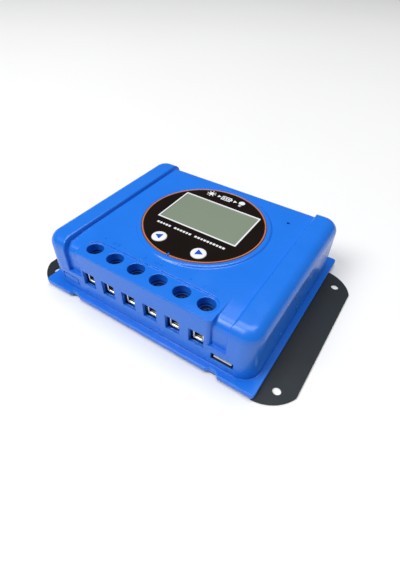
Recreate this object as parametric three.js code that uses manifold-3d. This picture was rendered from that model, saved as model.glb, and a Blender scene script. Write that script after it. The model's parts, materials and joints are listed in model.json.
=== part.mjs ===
// Solar charge controller: a moulded cover on a steel base plate, a round display panel with
// two push buttons, six rising-cage terminals, a USB port and the electronics inside.
// Millimetres, +Z up. The front, with the terminals, faces -Y. z = 0 is the underside of the
// base plate, x = 0 the middle of the cover and y = 0 the middle of the mounting holes.
import * as THREE from 'three';
import { mergeVertices } from 'three/addons/utils/BufferGeometryUtils.js';
import Module from 'manifold-3d';

const wasm = await Module();
wasm.setup();

// ---------------------------------------------------------------- driving dimensions
const GAP = 0.3;                    // clearance between neighbouring pieces
const OVER = 1;                     // how far a cutter runs past the face that it cuts
const SEAM = 0.4;                   // overlap of two shapes that merge into one piece
const BEYOND = 100;                 // a distance outside every side of the object
const ABOVE = 50;                   // a height over the top of the object
const ARC_STEPS = 8;                // straight runs in a long arc of an outline
const EDGE_STEPS = 4;               // steps round the rounded top edges of the cover
const FACETS = { tiny: 10, small: 12, medium: 16, round: 20, fine: 24, large: 48 };

// base plate with its two ears
const PLATE_T = 1.2;
const PLATE_HALF_X = 73.4;
const PLATE_FRONT = -54.6;
const PLATE_BACK = 66.8;
const EAR_SHIFT = 2.2;              // the plate sits a little to the right of the cover
const EAR_HALF_X = 90.4;
const EAR_ARC = { x: 69.8, y: 34.4, r: 22.4 };
const EAR_HOLE = { x: 80.4, y: 45.24, r: 2.4 };

// cover: flange, end bands and deck
const DECK_Z = 37.2;
const BAND_Z = 39.7;
const WALL = 2.3;
const SIDE_WALL = 2.5;
const BACK_WALL = 3.1;
const FLANGE = { halfX: 74.9, front: -57, back: 68.4, bottom: PLATE_T + GAP, top: 4.5, corner: 2 };
const NOTCH = { inner: 45.8, floorIn: 48.2, floorOut: 51.8, outer: 53.9, depth: 1.9, step: 0.5 };
const BODY = { halfX: 71, front: -52.3, back: 64.3, corner: 10, edge: 7.2 };
const STEP = { low: 53.9, high: 55.6 };       // the sloped step from the deck up to a band
const BAY = { wall: -50, top: 31.3, start: -34, ledge: 18.4 };
const BAY_CURVE = { across: 2.6, down: 2.1, steps: [0, 0.35, 0.6, 0.78, 0.9, 0.97, 1] };
const ROOF_UNDER = 34.8;
const HOLLOW = { lowHalfX: 60, slopeFrom: 28, slopeBack: -41, meet: -40 };

// terminals
const POLES = 6;
const PITCH = 15;
const ROW_X = -0.26;
const ROW_Y = -42.8;
const HOUSING = { halfX: 45.7, corner: 3, back: -20 };
const ACCESS_R = 4.8;
const CHIMNEY = { r: 6.2, bottom: 31.4 };
const ENTRY = { halfX: 4.5, bottom: 14.1, top: 24.2, back: -45 };
const WEDGE = { r: 6.3, depth: 0.6, front: -46 };
const BLOCK = { halfX: 43.2, front: -49.7, back: -37, bottom: 8.3, top: 31 };
const CHANNEL = { halfX: 3.8, back: -39.5, bottom: 12.6, top: 27.7, mouthX: 4.9, mouth: -48.5 };
const CAGE = { halfX: 3.5, front: -49.7, back: -39.9, bottom: 14.9, wall: 1.1, lip: 16.3,
  nutUnder: 21.7, top: 23.1 };
const BUSBAR = { halfX: 2.1, under: 20.6, t: 0.8, front: -47.5, drop: -35.4 };
const SCREW = { headR: 3.7, headUnder: 28.6, headTop: 30.8, shankR: 2, tip: 21.7, slot: 1.1,
  slotDepth: 1, crossHalf: 2.2 };

// display panel
const PANEL = { y: 12.88, plateR: 37.1, ringIn: 37.4, ringOut: 38.3, pocketR: 38.6,
  lipR: 40.2, baseR: 42, baseUnder: 30, lipZ: 38.2, ringZ: 38.35, topZ: 38.5, floorZ: 36.7,
  underZ: 37 };
const LCD = { y: 18.87, w: 55.7, h: 33.04, border: 1.2, glassZ: 38, frameZ: 38.4 };
const BUTTON = { x: 13.76, y: -14.52, r: 4.65, top: 38.9, chamfer: 0.4, flangeR: 5.6,
  flangeT: 0.7 };
const TACT = { half: 3, top: 32.5, wellR: 2, wellFloor: 31 };
const PLUNGER = { r: 1.7, bottom: 31.7, top: 33.5 };
const BOARD = { halfX: 33.2, front: -21.5, back: 40.5, bottom: 27.6, top: 29.2 };
const STAKE = { x: 30.9, front: -18.5, back: 38, r: 2, pinR: 1.2, holeR: 1.5, end: 26.8 };
const LED = { x: 43.3, y: 43.1, holeR: 1, bodyR: 1.5, stemR: 0.6, bottom: 30, top: 34.5,
  tipR: 0.8, setback: 2 };

// USB port, and the outline of an unused second port
const USB = { x: 53.07, halfX: 6.5, bottom: 9.18, top: 13.97, lip: 0.8 };
const SHELL = { halfX: 6.3, bottom: 8.85, top: 14.25, t: 0.5, front: -51.2, back: -36 };
const TONGUE = { halfX: 5.4, bottom: 10, top: 11.4, front: -51.2, back: -36.8 };
const BLANK = { x: -54.7, halfX: 6.4, bottom: 9, top: 14.7, groove: 0.5, depth: 0.4 };

// electronics and fasteners
const PCB = { halfX: 59, front: -49.2, back: 43.5, bottom: 6.4, top: 8 };
const ON_BOARD = PCB.top + GAP;     // underside of the pieces that stand on the main board
const PCB_FIX = { x: 55, front: -28, back: 38, pillarR: 3, boreR: 1.5, boreEnd: 2, screwR: 1.2,
  screwEnd: 3, headR: 2.8, rimT: 1.2, headT: 1.9, crownR: 1.68 };
const CASE_FIX = { x: 64, front: -43.4, back: 55.4, bossR: 3.6, boreR: 1.5, boreEnd: 12,
  screwR: 1.2, screwEnd: 10.5, headR: 3, headUnder: 0.1, neckZ: 1.4, holeR: 3.3, neckR: 1.9 };
const BAR = { front: 46.2, wallBack: 49.2, footBack: 60, top: 30, halfX: 50, foot: 4.5 };
const PAD = { halfX: 45, front: 45.4, bottom: 12, top: 29 };
const MOSFET = { x: [-36, -12, 12, 36], back: 45.1, halfX: 5, t: 4.4, bottom: 5, top: 20,
  legHalfX: 3.2, legFront: 2.6, legBack: 2, legTop: 5.5 };
const CAPACITOR = { at: [[-46, 2], [-46, 22], [46, 12]], r: 8, rim: 20, height: 21, topR: 7.4 };
const FUSE = { at: [[-28, -26], [28, -26]], halfX: 9.5, halfY: 2.4, height: 9,
  topHalfX: 8, topHalfY: 1.8, top: 13 };
const CONNECTOR = { halfX: 15, front: 36.4, back: 38.9 };
const CHIP = { halfX: 5, front: -9, back: 1, height: 1.6 };

// ---------------------------------------------------------------- materials
const finish = (color, roughness, metalness = 0) =>
  new THREE.MeshStandardMaterial({ color, roughness, metalness });
const BLUE_ABS = finish(0x2a74e8, 0.38);
const BLACK_POWDER_COAT = finish(0x2b3238, 0.55);
const BLACK_GLOSS = finish(0x171412, 0.25);
const ORANGE_TRIM = finish(0xc96a2e, 0.4);
const WHITE_PLASTIC = finish(0xf2f3f5, 0.4);
const LCD_GREEN = finish(0x8c9887, 0.3);
const DARK_PLASTIC = finish(0x1b2a4a, 0.5);
const GREEN_BOARD = finish(0x1d5a38, 0.5);
const BRASS = finish(0x9a8f6a, 0.35, 1);
const STEEL = finish(0xb9bcc0, 0.3, 1);
const ALUMINIUM = finish(0xa9adb0, 0.4, 1);
const COPPER = finish(0xb87a4a, 0.35, 1);
const GREY_RUBBER = finish(0x8b9096, 0.8);
const BLACK_EPOXY = finish(0x151515, 0.5);
const FUSE_AMBER = finish(0xc98a2a, 0.4);

// ---------------------------------------------------------------- solids
// Turns a closed geometry into a solid that can be joined and cut.
function solid(geometry) {
  geometry.deleteAttribute('normal');
  geometry.deleteAttribute('uv');
  const merged = mergeVertices(geometry, 1e-4);
  return new wasm.Manifold(new wasm.Mesh({
    numProp: 3,
    vertProperties: Float32Array.from(merged.attributes.position.array),
    triVerts: Uint32Array.from(merged.index.array),
  }));
}

const join = (first, ...rest) => rest.reduce((sum, piece) => sum.add(piece), first);
const cut = (first, ...rest) => rest.reduce((left, piece) => left.subtract(piece), first);

function box(x0, x1, y0, y1, z0, z1) {
  const geometry = new THREE.BoxGeometry(x1 - x0, y1 - y0, z1 - z0);
  geometry.translate((x0 + x1) / 2, (y0 + y1) / 2, (z0 + z1) / 2);
  return solid(geometry);
}

function rod(x, y, z0, z1, r0, r1 = r0, segments = FACETS.round) {
  const geometry = new THREE.CylinderGeometry(r1, r0, z1 - z0, segments);
  geometry.rotateX(Math.PI / 2);
  geometry.translate(x, y, (z0 + z1) / 2);
  return solid(geometry);
}

// A turned piece: the profile is a list of [radius, z], from the axis back to the axis.
function turned(x, y, profile, segments = FACETS.fine) {
  const points = profile.map(([r, z]) => new THREE.Vector2(r, z));
  const geometry = new THREE.LatheGeometry(points, segments);
  geometry.rotateX(Math.PI / 2);
  geometry.translate(x, y, 0);
  return solid(geometry);
}

function outline(points) {
  return new THREE.Shape(points.map(([x, y]) => new THREE.Vector2(x, y)));
}

// A straight round hole through z0 to z1.
const bore = (x, y, z0, z1, r, segments = FACETS.small) => rod(x, y, z0, z1, r, r, segments);

// A plan outline raised along Z.
function raise(shape, z0, z1, curveSegments = 6) {
  const geometry = new THREE.ExtrudeGeometry(shape, { depth: z1 - z0, bevelEnabled: false,
    curveSegments });
  geometry.translate(0, 0, z0);
  return solid(geometry);
}

// A side outline in (y, z), run along X.
function across(points, x0, x1) {
  const geometry = new THREE.ExtrudeGeometry(outline(points), { depth: x1 - x0,
    bevelEnabled: false });
  geometry.translate(0, 0, x0);
  geometry.applyMatrix4(new THREE.Matrix4().makeBasis(
    new THREE.Vector3(0, 1, 0), new THREE.Vector3(0, 0, 1), new THREE.Vector3(1, 0, 0)));
  return solid(geometry);
}

function roundedRect(x0, x1, y0, y1, r) {
  const shape = new THREE.Shape();
  shape.moveTo(x0 + r, y0);
  shape.lineTo(x1 - r, y0);
  shape.absarc(x1 - r, y0 + r, r, -Math.PI / 2, 0, false);
  shape.lineTo(x1, y1 - r);
  shape.absarc(x1 - r, y1 - r, r, 0, Math.PI / 2, false);
  shape.lineTo(x0 + r, y1);
  shape.absarc(x0 + r, y1 - r, r, Math.PI / 2, Math.PI, false);
  shape.lineTo(x0, y0 + r);
  shape.absarc(x0 + r, y0 + r, r, Math.PI, 1.5 * Math.PI, false);
  return shape;
}

const corners = (x, front, back) => [[-x, front], [x, front], [x, back], [-x, back]];
const poleX = (index) => ROW_X + (index - (POLES - 1) / 2) * PITCH;
const poles = [...Array(POLES).keys()];

const object = new THREE.Group();

// The outline of the display, taken in by inset all round.
function lcdBox(inset, z0, z1) {
  return box(-LCD.w / 2 + inset, LCD.w / 2 - inset, LCD.y - LCD.h / 2 + inset,
    LCD.y + LCD.h / 2 - inset, z0, z1);
}

// Adds one piece to the object as a named mesh.
function add(name, body, material) {
  const { vertProperties, triVerts } = body.getMesh();
  const geometry = new THREE.BufferGeometry();
  geometry.setAttribute('position', new THREE.BufferAttribute(vertProperties, 3));
  geometry.setIndex(new THREE.BufferAttribute(triVerts, 1));
  geometry.computeVertexNormals();
  const mesh = new THREE.Mesh(geometry, material);
  mesh.name = name;
  object.add(mesh);
}

// ---------------------------------------------------------------- base plate
function ear(side) {
  const shape = new THREE.Shape();
  const { x, y, r } = EAR_ARC;
  const reach = Math.acos((EAR_HALF_X - x) / r);
  shape.moveTo(0, -y - r);
  shape.lineTo(x, -y - r);
  shape.absarc(x, -y, r, -Math.PI / 2, -reach, false);
  shape.absarc(x, y, r, reach, Math.PI / 2, false);
  shape.lineTo(0, y + r);
  const body = raise(shape, 0, PLATE_T, ARC_STEPS);
  return side > 0 ? body : body.mirror([1, 0, 0]);
}

function basePlate() {
  const ears = join(ear(1), ear(-1)).translate([EAR_SHIFT, 0, 0]);
  const through = PLATE_T + OVER;
  const clipped = ears.subtract(
    box(-PLATE_HALF_X, PLATE_HALF_X, -BEYOND, PLATE_FRONT, -OVER, through));
  let body = clipped.add(box(-PLATE_HALF_X, PLATE_HALF_X, PLATE_FRONT, PLATE_BACK, 0, PLATE_T));
  for (const side of [-1, 1]) {
    for (const y of [-EAR_HOLE.y, EAR_HOLE.y]) {
      body = body.subtract(rod(EAR_SHIFT + side * EAR_HOLE.x, y, -OVER, through, EAR_HOLE.r));
    }
  }
  const { x, front, back, holeR, neckR } = CASE_FIX;
  for (const [px, py] of corners(x, front, back)) {
    const slope = (neckR - holeR) / PLATE_T;
    body = body.subtract(rod(px, py, -OVER, through, holeR - slope * OVER,
      neckR + slope * OVER, FACETS.medium));
  }
  for (const [px, py] of corners(PCB_FIX.x, PCB_FIX.front, PCB_FIX.back)) {
    body = body.add(bore(px, py, PLATE_T / 2, PCB.bottom - GAP, PCB_FIX.pillarR));
    body = body.subtract(bore(px, py, PCB_FIX.boreEnd, PCB.top, PCB_FIX.boreR));
  }
  return body;
}

// ---------------------------------------------------------------- top cover
function flangeShape() {
  const { halfX, front, back, corner } = FLANGE;
  const { inner, floorIn, floorOut, outer, depth, step } = NOTCH;
  const shape = new THREE.Shape();
  shape.moveTo(-inner, front + step);
  shape.lineTo(inner, front + step);
  shape.lineTo(floorIn, front + depth);
  shape.lineTo(floorOut, front + depth);
  shape.lineTo(outer, front);
  shape.absarc(halfX - corner, front + corner, corner, -Math.PI / 2, 0, false);
  shape.absarc(halfX - corner, back - corner, corner, 0, Math.PI / 2, false);
  shape.absarc(corner - halfX, back - corner, corner, Math.PI / 2, Math.PI, false);
  shape.absarc(corner - halfX, front + corner, corner, Math.PI, 1.5 * Math.PI, false);
  shape.lineTo(-outer, front);
  shape.lineTo(-floorOut, front + depth);
  shape.lineTo(-floorIn, front + depth);
  return shape;
}

// The two end bands: a box with rounded corners and top edge, less the room for the deck.
function bands() {
  const { halfX, front, back, corner, edge } = BODY;
  const geometry = new THREE.ExtrudeGeometry(roundedRect(-halfX, halfX, front, back, corner), {
    depth: BAND_Z - 2 * edge, bevelThickness: edge, bevelSize: edge, bevelOffset: -edge,
    bevelSegments: EDGE_STEPS, curveSegments: EDGE_STEPS });
  geometry.translate(0, 0, edge);
  const shell = solid(geometry).intersect(
    box(-BEYOND, BEYOND, -BEYOND, BEYOND, FLANGE.bottom + OVER, ABOVE));
  const rise = ABOVE - DECK_Z;
  const wide = STEP.low + rise * (STEP.high - STEP.low) / (BAND_Z - DECK_Z);
  const room = outline([[-STEP.low, 0], [STEP.low, 0], [STEP.low, DECK_Z], [wide, ABOVE],
    [-wide, ABOVE], [-STEP.low, DECK_Z]]);
  const passage = new THREE.ExtrudeGeometry(room, { depth: 2 * BEYOND, bevelEnabled: false });
  passage.rotateX(Math.PI / 2);
  passage.translate(0, BEYOND, 0);
  return shell.subtract(solid(passage));
}

// Height of the deck where it falls away towards the front of a bay.
function bayHeight(y) {
  const t = (BAY.start - y) / (BAY.start - BAY.wall);
  const { across: power, down } = BAY_CURVE;
  return BAY.top + (DECK_Z - BAY.top) * Math.pow(1 - Math.pow(t, power), 1 / down);
}

function deck() {
  const points = [[BAY.wall, FLANGE.bottom + OVER], [BODY.back, FLANGE.bottom + OVER]];
  const { edge } = BODY;
  for (let i = 0; i <= EDGE_STEPS; i += 1) {
    const turn = (i / EDGE_STEPS) * (Math.PI / 2);
    points.push([BODY.back - edge + edge * Math.cos(turn), DECK_Z - edge + edge * Math.sin(turn)]);
  }
  for (const t of BAY_CURVE.steps) {
    const y = BAY.start + t * (BAY.wall - BAY.start);
    points.push([y, bayHeight(y)]);
  }
  return across(points, -STEP.low - SEAM, STEP.low + SEAM);
}

function housing() {
  const { halfX, corner, back } = HOUSING;
  return raise(roundedRect(-halfX, halfX, BODY.front, back, corner), FLANGE.bottom + OVER, DECK_Z);
}

function cavity() {
  const { halfX, back, corner } = BODY;
  const front = BAY.wall + WALL;
  const { lowHalfX, slopeFrom, slopeBack, meet } = HOLLOW;
  const plan = raise(roundedRect(-halfX + SIDE_WALL, halfX - SIDE_WALL, front, back - BACK_WALL,
    corner - SIDE_WALL), 0, ROOF_UNDER);
  const side = across([[front - OVER, -OVER], [BEYOND, -OVER], [BEYOND, ABOVE],
    [slopeBack, ABOVE], [slopeBack, ROOF_UNDER], [front - OVER, slopeFrom]], -BEYOND, BEYOND);
  const low = box(-lowHalfX, lowHalfX, BODY.front + WALL, front + OVER, 0, BAY.ledge - WALL);
  const pocket = HOUSING.halfX - WALL;
  const high = box(-pocket, pocket, BODY.front + WALL, meet, 0, ROOF_UNDER);
  return join(plan.intersect(side), low, high);
}

function topCover() {
  const { y, baseR, baseUnder, lipR, lipZ, pocketR, floorZ } = PANEL;
  let body = join(
    raise(flangeShape(), FLANGE.bottom, FLANGE.top, 3),
    bands(),
    deck(),
    housing(),
    box(-STEP.low - OVER, STEP.low + OVER, BODY.front, HOLLOW.meet, FLANGE.bottom + OVER,
      BAY.ledge),
    turned(0, y, [[0, baseUnder], [baseR, baseUnder], [baseR, DECK_Z], [lipR, lipZ], [0, lipZ]],
      FACETS.large),
  );
  body = body.subtract(cavity());

  // posts and chimneys below the roof
  const roof = ROOF_UNDER + SEAM;
  for (const i of poles) {
    body = body.add(rod(poleX(i), ROW_Y, CHIMNEY.bottom, roof, CHIMNEY.r));
  }
  for (const [px, py] of corners(CASE_FIX.x, CASE_FIX.front, CASE_FIX.back)) {
    body = body.add(bore(px, py, FLANGE.bottom, roof, CASE_FIX.bossR));
    body = body.subtract(bore(px, py, 0, CASE_FIX.boreEnd, CASE_FIX.boreR));
  }
  for (const [px, py] of corners(STAKE.x, STAKE.front, STAKE.back)) {
    body = join(body, bore(px, py, BOARD.top + GAP, roof, STAKE.r, FACETS.tiny),
      bore(px, py, STAKE.end, roof, STAKE.pinR, FACETS.tiny));
  }

  // display pocket, window and button holes
  const under = ROOF_UNDER - OVER;
  body = cut(body,
    turned(0, y, [[0, floorZ], [pocketR, floorZ], [pocketR, ABOVE], [0, ABOVE]], FACETS.large),
    lcdBox(-GAP, under, ABOVE),
    rod(-BUTTON.x, BUTTON.y, under, ABOVE, BUTTON.r + GAP),
    rod(BUTTON.x, BUTTON.y, under, ABOVE, BUTTON.r + GAP),
    bore(LED.x, LED.y, under, ABOVE, LED.holeR));

  // terminals: access holes, cable entries and the wedge-shaped recess round the holes
  for (const i of poles) {
    body = cut(body, bore(poleX(i), ROW_Y, CHIMNEY.bottom - OVER, ABOVE, ACCESS_R, FACETS.fine),
      box(poleX(i) - ENTRY.halfX, poleX(i) + ENTRY.halfX, -BEYOND, ENTRY.back, ENTRY.bottom,
        ENTRY.top));
  }
  const { r, depth, front } = WEDGE;
  const obround = roundedRect(poleX(0) - r, poleX(POLES - 1) + r, -r, r, 0.998 * r);
  const wedge = raise(obround, 0, ABOVE - DECK_Z, ARC_STEPS);
  const tilt = THREE.MathUtils.radToDeg(Math.atan(depth / (ROW_Y + r - front)));
  body = body.subtract(wedge.translate([0, ROW_Y - front, 0]).rotate([-tilt, 0, 0])
    .translate([0, front, DECK_Z]));

  // USB opening, the pocket behind its lip for the shell, and the outline of the unused port
  const portBox = (inset, back) => box(BLANK.x - BLANK.halfX + inset,
    BLANK.x + BLANK.halfX - inset, -BEYOND - inset, back, BLANK.bottom + inset, BLANK.top - inset);
  const grooveFloor = BODY.front + BLANK.depth;
  const side = SHELL.halfX + SHELL.t + GAP;
  return cut(body, portBox(0, grooveFloor).subtract(portBox(BLANK.groove, grooveFloor + OVER)),
    box(USB.x - side, USB.x + side, BODY.front + USB.lip, ENTRY.back,
      SHELL.bottom - SHELL.t - GAP, SHELL.top + SHELL.t + GAP),
    box(USB.x - USB.halfX, USB.x + USB.halfX, -BEYOND, ENTRY.back, USB.bottom, USB.top));
}

// ---------------------------------------------------------------- display and buttons
function facePlate() {
  const { y, plateR, underZ, topZ } = PANEL;
  const disc = turned(0, y, [[0, underZ], [plateR, underZ], [plateR, topZ], [0, topZ]],
    FACETS.large);
  const under = underZ - OVER;
  return cut(disc, lcdBox(-GAP, under, ABOVE),
    rod(-BUTTON.x, BUTTON.y, under, ABOVE, BUTTON.r + GAP),
    rod(BUTTON.x, BUTTON.y, under, ABOVE, BUTTON.r + GAP));
}

function rimRing() {
  const { y, ringIn, ringOut, underZ, ringZ } = PANEL;
  return turned(0, y, [[ringIn, underZ], [ringOut, underZ], [ringOut, ringZ], [ringIn, ringZ],
    [ringIn, underZ]], FACETS.large);
}

function displayBoard() {
  const { halfX, front, back, bottom, top } = BOARD;
  let body = box(-halfX, halfX, front, back, bottom, top);
  for (const [px, py] of corners(STAKE.x, STAKE.front, STAKE.back)) {
    body = body.subtract(bore(px, py, bottom - OVER, top + OVER, STAKE.holeR, FACETS.tiny));
  }
  return body;
}

function buttonCap(x) {
  const { y, r, top, chamfer, flangeR, flangeT } = BUTTON;
  const flangeTop = ROOF_UNDER - GAP;
  const under = flangeTop - flangeT;
  return turned(x, y, [[0, under], [flangeR, under], [flangeR, flangeTop],
    [r, flangeTop], [r, top - chamfer], [r - chamfer, top], [0, top]]);
}

function tactSwitch(x) {
  const { half, top, wellR, wellFloor } = TACT;
  const base = box(x - half, x + half, BUTTON.y - half, BUTTON.y + half, BOARD.top + GAP, top);
  return base.subtract(bore(x, BUTTON.y, wellFloor, top + OVER, wellR));
}

function switchPlunger(x) {
  return bore(x, BUTTON.y, PLUNGER.bottom, PLUNGER.top, PLUNGER.r);
}

// ---------------------------------------------------------------- terminals
function terminalBlock() {
  const { halfX, front, back, bottom, top } = BLOCK;
  let body = box(-halfX, halfX, front, back, bottom, top);
  for (const i of poles) {
    const x = poleX(i);
    body = cut(body,
      box(x - CHANNEL.halfX, x + CHANNEL.halfX, front - OVER, CHANNEL.back, CHANNEL.bottom,
        CHANNEL.top),
      box(x - CHANNEL.mouthX, x + CHANNEL.mouthX, front - OVER, CHANNEL.mouth, CHANNEL.bottom,
        CHANNEL.top),
      box(x - BUSBAR.halfX - GAP, x + BUSBAR.halfX + GAP, ENTRY.back, back + OVER,
        BUSBAR.under - GAP, BUSBAR.under + BUSBAR.t + GAP),
      bore(x, ROW_Y, SCREW.headUnder - GAP, top + OVER, SCREW.headR + GAP, FACETS.medium),
      bore(x, ROW_Y, CHANNEL.top - OVER, top + OVER, SCREW.shankR + GAP));
  }
  return body;
}

function terminalScrew(x) {
  const { headR, headUnder, headTop, shankR, tip, slot, slotDepth, crossHalf } = SCREW;
  const body = turned(x, ROW_Y, [[0, tip], [shankR, tip], [shankR, headUnder], [headR, headUnder],
    [headR, headTop], [0, headTop]], FACETS.medium);
  const floor = headTop - slotDepth;
  const slotBox = (halfX, halfY) => box(x - halfX, x + halfX, ROW_Y - halfY, ROW_Y + halfY,
    floor, ABOVE);
  return cut(body, slotBox(headR + OVER, slot / 2), slotBox(slot / 2, crossHalf));
}

function terminalCage(x) {
  const { halfX, front, back, bottom, wall, lip, nutUnder, top } = CAGE;
  return cut(box(x - halfX, x + halfX, front, back, bottom, top),
    box(x - halfX + wall, x + halfX - wall, front - OVER, back + OVER, lip, nutUnder),
    bore(x, ROW_Y, nutUnder - OVER, top + OVER, SCREW.shankR + GAP));
}

function busbar(x) {
  const { halfX, under, t, front, drop } = BUSBAR;
  const foot = PCB.top + GAP;
  return across([[front, under], [drop - t, under], [drop - t, foot], [drop, foot],
    [drop, under + t], [front, under + t]], x - halfX, x + halfX);
}

// ---------------------------------------------------------------- USB port
function usbShell() {
  const { halfX, bottom, top, t, front, back } = SHELL;
  return cut(
    box(USB.x - halfX - t, USB.x + halfX + t, front, back, bottom - t, top + t),
    box(USB.x - halfX, USB.x + halfX, front - OVER, back - t, bottom, top));
}

function usbTongue() {
  const { halfX, bottom, top, front, back } = TONGUE;
  return box(USB.x - halfX, USB.x + halfX, front, back, bottom, top);
}

// ---------------------------------------------------------------- electronics
function mainBoard() {
  let body = box(-PCB.halfX, PCB.halfX, PCB.front, PCB.back, PCB.bottom, PCB.top);
  for (const [px, py] of corners(PCB_FIX.x, PCB_FIX.front, PCB_FIX.back)) {
    body = body.subtract(bore(px, py, PCB.bottom - OVER, PCB.top + OVER, PCB_FIX.boreR));
  }
  return body;
}

function heatSpreader() {
  const { front, wallBack, footBack, top, halfX, foot } = BAR;
  const bottom = PLATE_T + GAP;
  return across([[front, bottom], [footBack, bottom], [footBack, foot], [wallBack, foot],
    [wallBack, top], [front, top]], -halfX, halfX);
}

function mosfet(x) {
  const { back, halfX, t, bottom, top, legHalfX, legFront, legBack, legTop } = MOSFET;
  return join(box(x - halfX, x + halfX, back - t, back, ON_BOARD + bottom, ON_BOARD + top),
    box(x - legHalfX, x + legHalfX, back - legFront, back - legBack, ON_BOARD, ON_BOARD + legTop));
}

function capacitor(x, y) {
  const { r, rim, height, topR } = CAPACITOR;
  return turned(x, y, [[0, ON_BOARD], [r, ON_BOARD], [r, ON_BOARD + rim], [topR, ON_BOARD + height],
    [0, ON_BOARD + height]], FACETS.round);
}

function bladeFuse(x, y) {
  const { halfX, halfY, height, topHalfX, topHalfY, top } = FUSE;
  return join(box(x - halfX, x + halfX, y - halfY, y + halfY, ON_BOARD, ON_BOARD + height),
    box(x - topHalfX, x + topHalfX, y - topHalfY, y + topHalfY, ON_BOARD, ON_BOARD + top));
}

function statusLed() {
  const { x, y, setback, bodyR, stemR, tipR, bottom, top } = LED;
  return turned(x, y - setback, [[0, ON_BOARD], [stemR, ON_BOARD], [stemR, bottom],
    [bodyR, bottom], [bodyR, top - OVER], [tipR, top], [0, top]], FACETS.tiny);
}

// A pan-head screw that holds the main board on its pillar.
function boardScrew(x, y) {
  const { screwR, screwEnd, headR, rimT, headT, crownR } = PCB_FIX;
  return turned(x, y, [[0, screwEnd], [screwR, screwEnd], [screwR, ON_BOARD], [headR, ON_BOARD],
    [headR, ON_BOARD + rimT], [crownR, ON_BOARD + headT], [0, ON_BOARD + headT]], FACETS.small);
}

// A countersunk screw that holds the cover on the base plate.
function caseScrew(x, y) {
  const { headR, headUnder, neckZ, screwR, screwEnd } = CASE_FIX;
  return turned(x, y, [[0, headUnder], [headR, headUnder], [screwR, neckZ], [screwR, screwEnd],
    [0, screwEnd]], FACETS.small);
}

// ---------------------------------------------------------------- assembly
add('base_plate', basePlate(), BLACK_POWDER_COAT);
add('top_cover', topCover(), BLUE_ABS);
add('face_plate', facePlate(), BLACK_GLOSS);
add('rim_ring', rimRing(), ORANGE_TRIM);
add('lcd_frame', lcdBox(0, BOARD.top + GAP, LCD.frameZ).subtract(lcdBox(LCD.border, 0, ABOVE)),
  WHITE_PLASTIC);
add('lcd_glass', lcdBox(LCD.border + GAP, BOARD.top + GAP, LCD.glassZ), LCD_GREEN);
add('display_board', displayBoard(), GREEN_BOARD);
for (const [side, x] of [['left', -BUTTON.x], ['right', BUTTON.x]]) {
  add(`button_${side}`, buttonCap(x), WHITE_PLASTIC);
  add(`tact_switch_${side}`, tactSwitch(x), BLACK_EPOXY);
  add(`switch_plunger_${side}`, switchPlunger(x), GREY_RUBBER);
}
add('terminal_block', terminalBlock(), DARK_PLASTIC);
for (const i of poles) {
  add(`terminal_screw_${i + 1}`, terminalScrew(poleX(i)), STEEL);
  add(`terminal_cage_${i + 1}`, terminalCage(poleX(i)), BRASS);
  add(`busbar_${i + 1}`, busbar(poleX(i)), COPPER);
}
add('usb_shell', usbShell(), STEEL);
add('usb_tongue', usbTongue(), WHITE_PLASTIC);
add('main_board', mainBoard(), GREEN_BOARD);
add('board_header', box(-CONNECTOR.halfX, CONNECTOR.halfX, CONNECTOR.front, CONNECTOR.back,
  ON_BOARD, BOARD.bottom - GAP), BLACK_EPOXY);
add('microcontroller', box(-CHIP.halfX, CHIP.halfX, CHIP.front, CHIP.back, ON_BOARD,
  ON_BOARD + CHIP.height), BLACK_EPOXY);
add('status_led', statusLed(), BLACK_EPOXY);
add('heat_spreader', heatSpreader(), ALUMINIUM);
add('thermal_pad', box(-PAD.halfX, PAD.halfX, PAD.front, BAR.front - GAP, PAD.bottom, PAD.top),
  GREY_RUBBER);
MOSFET.x.forEach((x, i) => add(`mosfet_${i + 1}`, mosfet(x), BLACK_EPOXY));
CAPACITOR.at.forEach(([x, y], i) => add(`capacitor_${i + 1}`, capacitor(x, y), BLACK_EPOXY));
FUSE.at.forEach(([x, y], i) => add(`fuse_${i + 1}`, bladeFuse(x, y), FUSE_AMBER));
corners(PCB_FIX.x, PCB_FIX.front, PCB_FIX.back).forEach(([x, y], i) =>
  add(`board_screw_${i + 1}`, boardScrew(x, y), STEEL));
corners(CASE_FIX.x, CASE_FIX.front, CASE_FIX.back).forEach(([x, y], i) =>
  add(`case_screw_${i + 1}`, caseScrew(x, y), STEEL));

export default object;
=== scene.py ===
"""Solar charge controller: the visual model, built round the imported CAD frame.

Shapes are worked out in millimetres in the frame's own axes and become metres when a mesh is made.
"""
import json
import math

import bpy
import numpy as np
from mathutils import Matrix, Vector
from mathutils.geometry import tessellate_polygon


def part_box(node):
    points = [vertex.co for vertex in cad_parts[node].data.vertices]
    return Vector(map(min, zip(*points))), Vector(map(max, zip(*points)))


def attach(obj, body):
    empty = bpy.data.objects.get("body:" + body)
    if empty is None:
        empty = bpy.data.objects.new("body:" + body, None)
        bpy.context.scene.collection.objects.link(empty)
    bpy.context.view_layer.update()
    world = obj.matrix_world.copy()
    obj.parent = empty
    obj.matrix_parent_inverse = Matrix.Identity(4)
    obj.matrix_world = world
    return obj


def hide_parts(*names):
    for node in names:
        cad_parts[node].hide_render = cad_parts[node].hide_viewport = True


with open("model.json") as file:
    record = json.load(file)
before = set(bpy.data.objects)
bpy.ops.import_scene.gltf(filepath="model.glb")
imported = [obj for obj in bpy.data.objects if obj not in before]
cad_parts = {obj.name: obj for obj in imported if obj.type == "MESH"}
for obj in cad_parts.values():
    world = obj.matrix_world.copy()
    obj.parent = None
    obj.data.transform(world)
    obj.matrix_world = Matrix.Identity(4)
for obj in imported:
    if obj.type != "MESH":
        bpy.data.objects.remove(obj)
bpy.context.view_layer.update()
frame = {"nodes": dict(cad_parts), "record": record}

MM = 0.001
ROOT = "controller"
NODES = frame["nodes"]


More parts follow.
